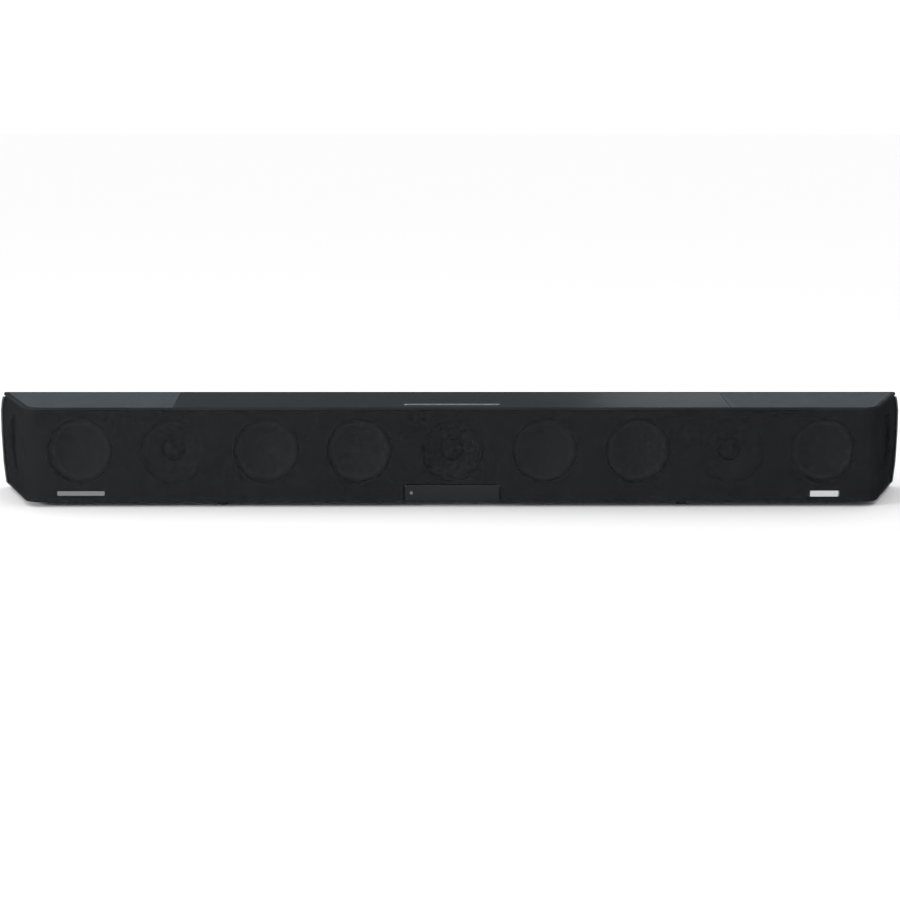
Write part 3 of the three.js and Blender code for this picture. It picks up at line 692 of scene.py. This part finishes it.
cloth_outline = divided(cloth_outline, 0.004)
badge_corner = 0.0012
badge_size = badge_high - badge_low
badge_middle = (badge_low + badge_high) / 2
badge_cut = rounded_box(badge_size.x + 2 * badge_gap, badge_size.z + 2 * badge_gap,
                        badge_corner + badge_gap, badge_middle.x, badge_middle.z)
cloth_points = cloth_outline + badge_cut
cloth_loops = [list(range(len(cloth_outline))), list(range(len(cloth_outline), len(cloth_points)))]
thread_step, thread_rows = 0.006, 20
keep_off = 0.002
columns = int(2 * half_run / thread_step)
for column in range(1, columns):
    for row in range(1, thread_rows):
        run = -half_run + 2 * half_run * column / columns
        z = cloth_low.z + (cloth_high.z - cloth_low.z) * row / thread_rows
        in_window = abs(run) < cut_half + keep_off and z < cut_top + keep_off
        in_badge = (badge_low.x - keep_off < run < badge_high.x + keep_off
                    and badge_low.z - keep_off < z < badge_high.z + keep_off)
        if not in_window and not in_badge:
            cloth_points.append((run, z))
cloth_faces = filled(cloth_points, cloth_loops, lambda at: abs(at.x) < cut_half and at.y < cut_top and not (
    abs(at.x) > cut_half - cut_corner and at.y > cut_top - cut_corner
    and math.hypot(abs(at.x) - cut_half + cut_corner, at.y - cut_top + cut_corner) > cut_corner))

cloth_depth = 0.0013
cloth_verts = [on_skin(run, z) for run, z in cloth_points]
for loop in cloth_loops:
    previous = loop
    for sunk in (0.0005, cloth_depth):
        ring = list(range(len(cloth_verts), len(cloth_verts) + len(loop)))
        cloth_verts += [on_skin(*cloth_points[v], sunk) for v in loop]
        for spot in range(len(loop)):
            after = (spot + 1) % len(loop)
            face = [previous[after], previous[spot], ring[spot], ring[after]]
            cloth_faces.append(face if loop is cloth_loops[0] else face[::-1])
        previous = ring

acoustic_cloth, cloth_shader = new_finish("acoustic_cloth", (0.018, 0.019, 0.021), 0.95)
cloth_shader.inputs["Specular IOR Level"].default_value = 0.0
cloth_shader.inputs["Alpha"].default_value = 0.72
thread_pitch = 0.0008


def weave(material, pitch, uv_name="weave"):
    """A plain weave laid out in metres: rounded threads that pass over and under each other."""
    place = new_node(material, "ShaderNodeUVMap", uv_map=uv_name)
    waves = []
    for direction in ("X", "Y"):
        wave = new_node(material, "ShaderNodeTexWave", bands_direction=direction)
        wave.inputs["Scale"].default_value = math.pi / 10 / pitch
        wave.inputs["Distortion"].default_value = 0.6
        wave.inputs["Detail"].default_value = 1.0
        wave.inputs["Detail Scale"].default_value = 0.3
        join(material, place.outputs["UV"], wave.inputs["Vector"])
        waves.append(wave.outputs["Fac"])
    cross = new_node(material, "ShaderNodeMath", operation="MULTIPLY")
    join(material, waves[0], cross.inputs[0])
    join(material, waves[1], cross.inputs[1])
    return cross.outputs["Value"]


cloth_weave = weave(acoustic_cloth, thread_pitch)
relief(acoustic_cloth, cloth_weave, 0.0002, cloth_shader, 0.7)
slub = noise(acoustic_cloth, 330, (1, 1, 1.3), 2)
tint(acoustic_cloth, slub, (0.003, 0.0031, 0.0035), (0.0195, 0.0202, 0.0225),
     cloth_shader.inputs["Base Color"])
spread(acoustic_cloth, cloth_weave, 0.85, 1.0, cloth_shader.inputs["Roughness"])

cloth = new_piece("grille_knit", cloth_verts, cloth_faces, acoustic_cloth)
weave_map = cloth.data.uv_layers.new(name="weave")
for corner in cloth.data.loops:
    vert = corner.vertex_index
    if vert < len(cloth_points):
        run, z = cloth_points[vert]
    else:
        run, z = cloth.data.vertices[vert].co.x, cloth.data.vertices[vert].co.z
    weave_map.data[corner.index].uv = (run, z)
fitted(cloth, nodes=["grille_cloth"])


# ---- Display window ----
# A tinted acrylic lens drops into the grille frame under the middle of the cloth. Its edge is
# polished, and one small status light looks through it at its left end.


def moved_in(loop, distance):
    """A counterclockwise outline drawn in by a distance, or out by a negative one."""
    points = []
    for spot, (x, y) in enumerate(loop):
        back, ahead = loop[spot - 1], loop[(spot + 1) % len(loop)]
        first = Vector((y - back[1], back[0] - x)).normalized()
        second = Vector((ahead[1] - y, x - ahead[0])).normalized()
        shift = (first + second) * distance / (1 + first.dot(second))
        points.append((x - shift.x, y - shift.y))
    return points


def plate(name, outline, holes, low, high, edge, material, place=None, steps=3):
    """A flat plate with rounded top edges, drawn in plan, with holes through it."""
    levels = [(low, edge * 0.4), (low + edge * 0.4, 0.0)]
    for step in range(steps + 1):
        angle = math.pi / 2 * step / steps
        levels.append((high - edge + edge * math.sin(angle), edge * (1 - math.cos(angle))))
    verts, faces, flat, loops = [], [], [], []
    for number, loop in enumerate([outline, *holes]):
        rings = []
        for height, inset in levels:
            rings.append(list(range(len(verts), len(verts) + len(loop))))
            drawn = moved_in(loop, inset if number == 0 else -inset)
            verts += [Vector((x, y, height)) for x, y in drawn]
        for first, second in zip(rings, rings[1:]):
            for spot in range(len(loop)):
                after = (spot + 1) % len(loop)
                face = [first[spot], first[after], second[after], second[spot]]
                faces.append(face if number == 0 else face[::-1])
        loops.append((rings[0], rings[-1]))
    for end, side in enumerate((-1, 1)):
        ends = [pair[end] for pair in loops]
        order = [v for ring in ends for v in ring]
        seat = {v: spot for spot, v in enumerate(order)}
        points = [(verts[v].x, verts[v].y) for v in order]
        for face in filled(points, [[seat[v] for v in ring] for ring in ends]):
            corners = [order[v] for v in face]
            faces.append(corners if side > 0 else corners[::-1])
    if place is not None:
        verts = [place @ v for v in verts]
    return new_piece(name, verts, faces, material, smooth=50, flat=True)


# Turns plan to the bar's front: plan x stays x, plan y becomes z and up becomes the front.
front_turn = Matrix(((1, 0, 0, 0), (0, 0, -1, 0), (0, 1, 0, 0), (0, 0, 0, 1)))

lens_tint, lens_shader = new_finish("lens_tint", (0.0035, 0.0046, 0.0056), 0.12)
lens_shader.inputs["Specular IOR Level"].default_value = 0.25
spread(lens_tint, noise(lens_tint, 60, detail=3), 0.08, 0.17, lens_shader.inputs["Roughness"])
window_middle = (window_low + window_high) / 2
window_outline = rounded_box(window_high.x - window_low.x, window_high.z - window_low.z, 0.004,
                             window_middle.x, window_middle.z)
lens = plate("display_lens", window_outline, [], -window_high.y, -window_low.y, 0.0005, lens_tint, front_turn)
fitted(lens, nodes=["display_window"])

lamp_milk, lamp_shader = new_finish("lamp_milk", (0.09, 0.09, 0.09), 0.35)
spread(lamp_milk, noise(lamp_milk, 2000), 0.28, 0.42, lamp_shader.inputs["Roughness"])
status_x, status_z, status_radius = -0.0548, 0.0194, 0.002
status_ring = [(0, 0.00002), (status_radius * 0.72, 0.00006), (status_radius * 0.8, 0.00018),
               (status_radius, 0.00018), (status_radius * 1.1, 0.00004), (status_radius * 1.1, -0.0004),
               (0, -0.0004)]
status_place = facing((0, -1, 0), (status_x, window_low.y, status_z))
fitted(turned_piece("status_light", status_ring, status_place, lamp_milk, 48))


# ---- Badge and name plate ----
# A milky light bar is pressed through the cloth at the right. At the left a slim blank plate of
# satin metal is glued on it.

badge_milk, milk_shader = new_finish("badge_milk", (0.44, 0.443, 0.447), 0.4)
tint(badge_milk, noise(badge_milk, 200), (0.42, 0.423, 0.427), (0.46, 0.464, 0.468),
     milk_shader.inputs["Base Color"])
spread(badge_milk, noise(badge_milk, 900), 0.32, 0.48, milk_shader.inputs["Roughness"])
badge_outline = rounded_box(badge_size.x, badge_size.z, badge_corner, badge_middle.x, badge_middle.z)
badge = plate("light_badge", badge_outline, [], -badge_high.y, -badge_low.y, 0.0006, badge_milk, front_turn)
fitted(badge, nodes=["status_badge"])

satin_metal, satin_shader = new_finish("satin_metal", (0.17, 0.174, 0.18), 0.4, 1.0)
spread(satin_metal, noise(satin_metal, 500, (0.05, 1, 1)), 0.3, 0.5, satin_shader.inputs["Roughness"])
relief(satin_metal, noise(satin_metal, 900, (0.05, 1, 1)), 0.00002, satin_shader, 0.4)
name_width, name_height, name_corner = 0.0633, 0.0062, 0.0012
name_x, name_z = -0.4972, 0.019
name_sunk, name_proud, name_edge = 0.0006, 0.0003, 0.0003
name_outline = rounded_box(name_width, name_height, name_corner, name_x, name_z)
name_plate = plate("name_plate", name_outline, [], -front_y - name_sunk, -front_y + name_proud, name_edge,
                   satin_metal, front_turn)
fitted(name_plate)


# ---- Top frame ----
# A moulded lid closes the cabinet. Its thin rim runs all round above the cloth, and the deck
# inside the rim carries the top panels, the keys and two upward drive units.

rim_plastic = grained_plastic("rim_plastic", (0.0135, 0.0158, 0.0175), 0.6, 2600, 0.00003, 0.002)


def bar_outline(end, front, rear, radius, rear_radius=0.002, steps=16):
    """The bar's plan, counterclockwise, so far inside its ends, its front and its rear."""
    right = []
    middle_y = front_y + front + radius
    for step in range(steps + 1):
        angle = -math.pi / 2 + (math.pi / 2 - splay) * step / steps
        right.append((half_width(middle_y, end + radius) + radius * math.cos(angle),
                      middle_y + radius * math.sin(angle)))
    middle_y = bar_high.y - rear - rear_radius
    for step in range(7):
        angle = -splay + (math.pi / 2 + splay) * step / 6
        right.append((half_width(middle_y, end + rear_radius) + rear_radius * math.cos(angle),
                      middle_y + rear_radius * math.sin(angle)))
    return right + [(-x, y) for x, y in right[::-1]]


deck_low, rim_high = (corner.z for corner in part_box("top_frame"))
lip_low = rim_high - 0.0037
recess_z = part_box("top_panel")[0].z - 0.0003
deck_inset = 0.0051
rim_round = 0.0006
end_rim, front_rim, rear_rim = 0.0044, 0.001, 0.002


def rim_ring(z, inset):
    return [(x, y, z) for x, y in bar_outline(end_inset(z) + inset, inset, inset, corner_radius - inset)]


def recess_ring(z, out=0.0):
    return [(x, y, z) for x, y in bar_outline(bulge_high + end_rim - out, front_rim - out, rear_rim - out,
                                              corner_radius - front_rim + out)]


rings = [rim_ring(deck_low, deck_inset), rim_ring(lip_low, deck_inset),
         rim_ring(lip_low, 0.0003), rim_ring(lip_low + 0.0003, 0.0)]
for step in range(5):
    angle = math.pi / 2 * step / 4
    height = rim_high - rim_round + rim_round * math.sin(angle)
    rings.append(rim_ring(height, rim_round * (1 - math.cos(angle))))
rings += [recess_ring(rim_high, 0.0002), recess_ring(rim_high - 0.0002), recess_ring(recess_z)]
rim_verts = [Vector(point) for ring in rings for point in ring]
ring_size = len(rings[0])
rim_faces = []
for level in range(len(rings) - 1):
    for spot in range(ring_size):
        after = (spot + 1) % ring_size
        rim_faces.append([level * ring_size + spot, level * ring_size + after,
                          (level + 1) * ring_size + after, (level + 1) * ring_size + spot])

strip_low, strip_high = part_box("control_bezel")
strip_middle = (strip_low + strip_high) / 2
strip_width, strip_depth = strip_high.x - strip_low.x, strip_high.y - strip_low.y
bezel_width, bezel_gap = 0.0012, 0.0003


def strip_outline(shrink):
    width, depth = strip_width - 2 * shrink, strip_depth - 2 * shrink
    return rounded_box(width, depth, depth / 2, strip_middle.x, strip_middle.y)


def circle(radius, x, y, sides=64):
    turns = [2 * math.pi * side / sides for side in range(sides)]
    return [(x + radius * math.cos(turn), y + radius * math.sin(turn)) for turn in turns]


top_unit_hole = 0.036
deck_holes = [strip_outline(bezel_width), circle(top_unit_hole, -top_unit_x, top_unit_y),
              circle(top_unit_hole, top_unit_x, top_unit_y)]
hole_rings = []
for hole in deck_holes:
    start = len(rim_verts)
    rim_verts += [Vector((x, y, deck_low)) for x, y in hole] + [Vector((x, y, recess_z)) for x, y in hole]
    low_ring = list(range(start, start + len(hole)))
    high_ring = [v + len(hole) for v in low_ring]
    hole_rings.append((low_ring, high_ring))
    for spot in range(len(hole)):
        after = (spot + 1) % len(hole)
        rim_faces.append([low_ring[after], low_ring[spot], high_ring[spot], high_ring[after]])
last_ring = (len(rings) - 1) * ring_size
for end, start in ((0, 0), (1, last_ring)):
    loops = [list(range(start, start + ring_size))] + [pair[end] for pair in hole_rings]
    order = [v for loop in loops for v in loop]
    seat = {v: spot for spot, v in enumerate(order)}
    points = [(rim_verts[v].x, rim_verts[v].y) for v in order]
    for face in filled(points, [[seat[v] for v in loop] for loop in loops]):
        corners = [order[v] for v in face]
        rim_faces.append(corners if end else corners[::-1])
lid = new_piece("top_lid", rim_verts, rim_faces, rim_plastic, smooth=50, flat=True)
fitted(lid, nodes=["top_frame"])


# ---- Top panel ----
# A dark anodised aluminium sheet covers the middle of the top between the two grilles. It is
# brushed from end to end and held to the deck with tape.

brushed_top, brushed_shader = new_finish("brushed_top", (0.1, 0.11, 0.118), 0.4, 1.0)
brushed_shader.inputs["Specular Tint"].default_value = (0.05, 0.055, 0.06, 1)
streaks = noise(brushed_top, 1400, (0.012, 1, 1), 6)
spread(brushed_top, streaks, 0.34, 0.5, brushed_shader.inputs["Roughness"])
tint(brushed_top, noise(brushed_top, 260, (0.006, 1, 1), 5), (0.098, 0.109, 0.117), (0.122, 0.136, 0.145),
     brushed_shader.inputs["Base Color"])
relief(brushed_top, streaks, 0.000008, brushed_shader, 0.3)

panel_low, panel_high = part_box("top_panel")
seam_front, seam_rear, seam_gap = 0.3725, 0.3787, 0.0005


def seam_x(y):
    """The middle of the slanted seam between the panel and a grille, at a depth."""
    return seam_front + (seam_rear - seam_front) * (y - front_y) / (bar_high.y - front_y)


panel_right = [(seam_x(y) - seam_gap / 2, y) for y in (panel_low.y, panel_high.y)]
panel_outline = panel_right + [(-x, y) for x, y in panel_right[::-1]]
panel_edge = 0.00035
panel = plate("brushed_panel", panel_outline, [strip_outline(-bezel_gap)], panel_low.z, panel_high.z,
              panel_edge, brushed_top)
fitted(panel, nodes=["top_panel"])


# ---- Top grilles ----
# A steel sheet at each end is perforated in a close hexagonal pattern, painted dark, and lets the
# sound of the upward drive unit through.

grille_paint, paint_shader = new_finish("grille_paint", (0.075, 0.088, 0.094), 0.55, 0.3)
paint_shader.inputs["Specular IOR Level"].default_value = 0.0
paint_shader.inputs["Specular Tint"].default_value = (0.06, 0.065, 0.07, 1)
tint(grille_paint, noise(grille_paint, 30, detail=4), (0.07, 0.082, 0.088), (0.08, 0.094, 0.101),
     paint_shader.inputs["Base Color"])
spread(grille_paint, noise(grille_paint, 1600), 0.38, 0.55, paint_shader.inputs["Roughness"])
relief(grille_paint, noise(grille_paint, 3000), 0.00002, paint_shader, 0.5)
hole_pitch, hole_radius, plain_margin = 0.0038, 0.0014, 0.0022
hole_turns = [math.pi / 6 + math.pi / 3 * corner for corner in range(6)]
panel_gap = 0.0003

for sign, side in ((-1, "left"), (1, "right")):
    node = f"top_grille_{side}"
    low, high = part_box(node)
    whole = bar_outline(bulge_high + end_rim + panel_gap, front_rim + panel_gap, rear_rim + panel_gap,
                        corner_radius - front_rim - panel_gap)
    right = [(x, y) for x, y in whole if x > 0]
    outline = [(seam_x(right[0][1]) + seam_gap / 2, right[0][1]), *right,
               (seam_x(right[-1][1]) + seam_gap / 2, right[-1][1])]
    holes = []
    row = 0
    y = low.y + plain_margin + hole_radius
    while y < high.y - plain_margin - hole_radius:
        x = seam_rear + plain_margin + hole_radius + (row % 2) * hole_pitch / 2
        while True:
            reach = plain_margin + hole_radius
            end_limit = half_width(y, bulge_high + end_rim + panel_gap + reach)
            if y < corner_y:
                middle_x = half_width(corner_y, bulge_high + end_rim + corner_radius)
                inner_radius = corner_radius - front_rim - reach
                if x > middle_x and math.hypot(x - middle_x, y - corner_y) > inner_radius:
                    break
            if x > end_limit:
                break
            holes.append([(x + hole_radius * math.cos(turn), y + hole_radius * math.sin(turn))
                          for turn in hole_turns])
            x += hole_pitch
        y += hole_pitch * math.sqrt(3) / 2
        row += 1
    if sign < 0:
        outline = [(-x, y) for x, y in outline[::-1]]
        holes = [[(-x, y) for x, y in hole[::-1]] for hole in holes]
    sheet = plate(f"perforated_sheet_{side}", outline, holes, low.z, high.z, 0.0002, grille_paint, steps=1)
    fitted(sheet, nodes=[node])


# ---- Control bezel and keys ----
# Eight small keys stand in a metal ring let into the front of the top panel. Each key is a moulded
# cap on a stem over a switch, and its middle is slightly dished.

bezel_metal, bezel_shader = new_finish("bezel_metal", (0.22, 0.234, 0.243), 0.3, 1.0)
bezel_shader.inputs["Specular Tint"].default_value = (0.4, 0.4, 0.4, 1)
spread(bezel_metal, noise(bezel_metal, 800, (0.1, 1, 1)), 0.22, 0.4, bezel_shader.inputs["Roughness"])
relief(bezel_metal, noise(bezel_metal, 1200, (0.1, 1, 1)), 0.00002, bezel_shader, 0.4)
bezel_edge = 0.0003
bezel = plate("bezel_ring", strip_outline(0), [strip_outline(bezel_width)], strip_low.z, strip_high.z,
              bezel_edge, bezel_metal)
fitted(bezel, nodes=["control_bezel"])

key_plastic = grained_plastic("key_plastic", (0.044, 0.0465, 0.049), 0.4, 2400, 0.00003, 0.2)
key_edge, key_dish, key_corner, cap_height = 0.0004, 0.00025, 0.0005, 0.0019
stem_radius, stem_edge = 0.0018, 0.0003
key_count, key_pitch = 8, 0.016
quarters = {(1, -1): 0, (1, 1): 1, (-1, 1): 2, (-1, -1): 3}
for number in range(1, key_count + 1):
    node = f"button_{number}"
    low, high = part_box(node)
    depth = high.y - low.y
    outline = []
    for (sx, sy), quarter in quarters.items():
        rounded = number == (key_count if sx > 0 else 1)
        radius = depth / 2 if rounded else key_corner
        middle = (high.x - radius if sx > 0 else low.x + radius,
                  high.y - radius if sy > 0 else low.y + radius)
        for step in range(7):
            angle = math.pi / 2 * (quarter - 1 + step / 6)
            outline.append((middle[0] + radius * math.cos(angle), middle[1] + radius * math.sin(angle)))
    cap_low = high.z - cap_height
    levels = [(cap_low, key_edge * 0.4), (cap_low + key_edge * 0.4, 0.0)]
    for step in range(4):
        angle = math.pi / 2 * step / 3
        levels.append((high.z - key_edge + key_edge * math.sin(angle), key_edge * (1 - math.cos(angle))))
    levels += [(high.z - key_dish * 0.3, 0.0009), (high.z - key_dish * 0.8, 0.0017),
               (high.z - key_dish, 0.0026)]
    rings = [[(x, y, z) for x, y in moved_in(outline, inset)] for z, inset in levels]
    cap = lofted(f"key_cap_{number}", rings, key_plastic, smooth=30)
    fitted(cap, node, [node])
    stem = [(0, cap_low), (stem_radius, cap_low), (stem_radius, low.z + stem_edge),
            (stem_radius - stem_edge, low.z), (0, low.z)]
    centre_x = key_pitch * (number - (key_count + 1) / 2)
    stem_place = Matrix.Translation(Vector((centre_x, strip_middle.y, 0)))
    fitted(turned_piece(f"key_stem_{number}", stem, stem_place, key_plastic, 24), node)
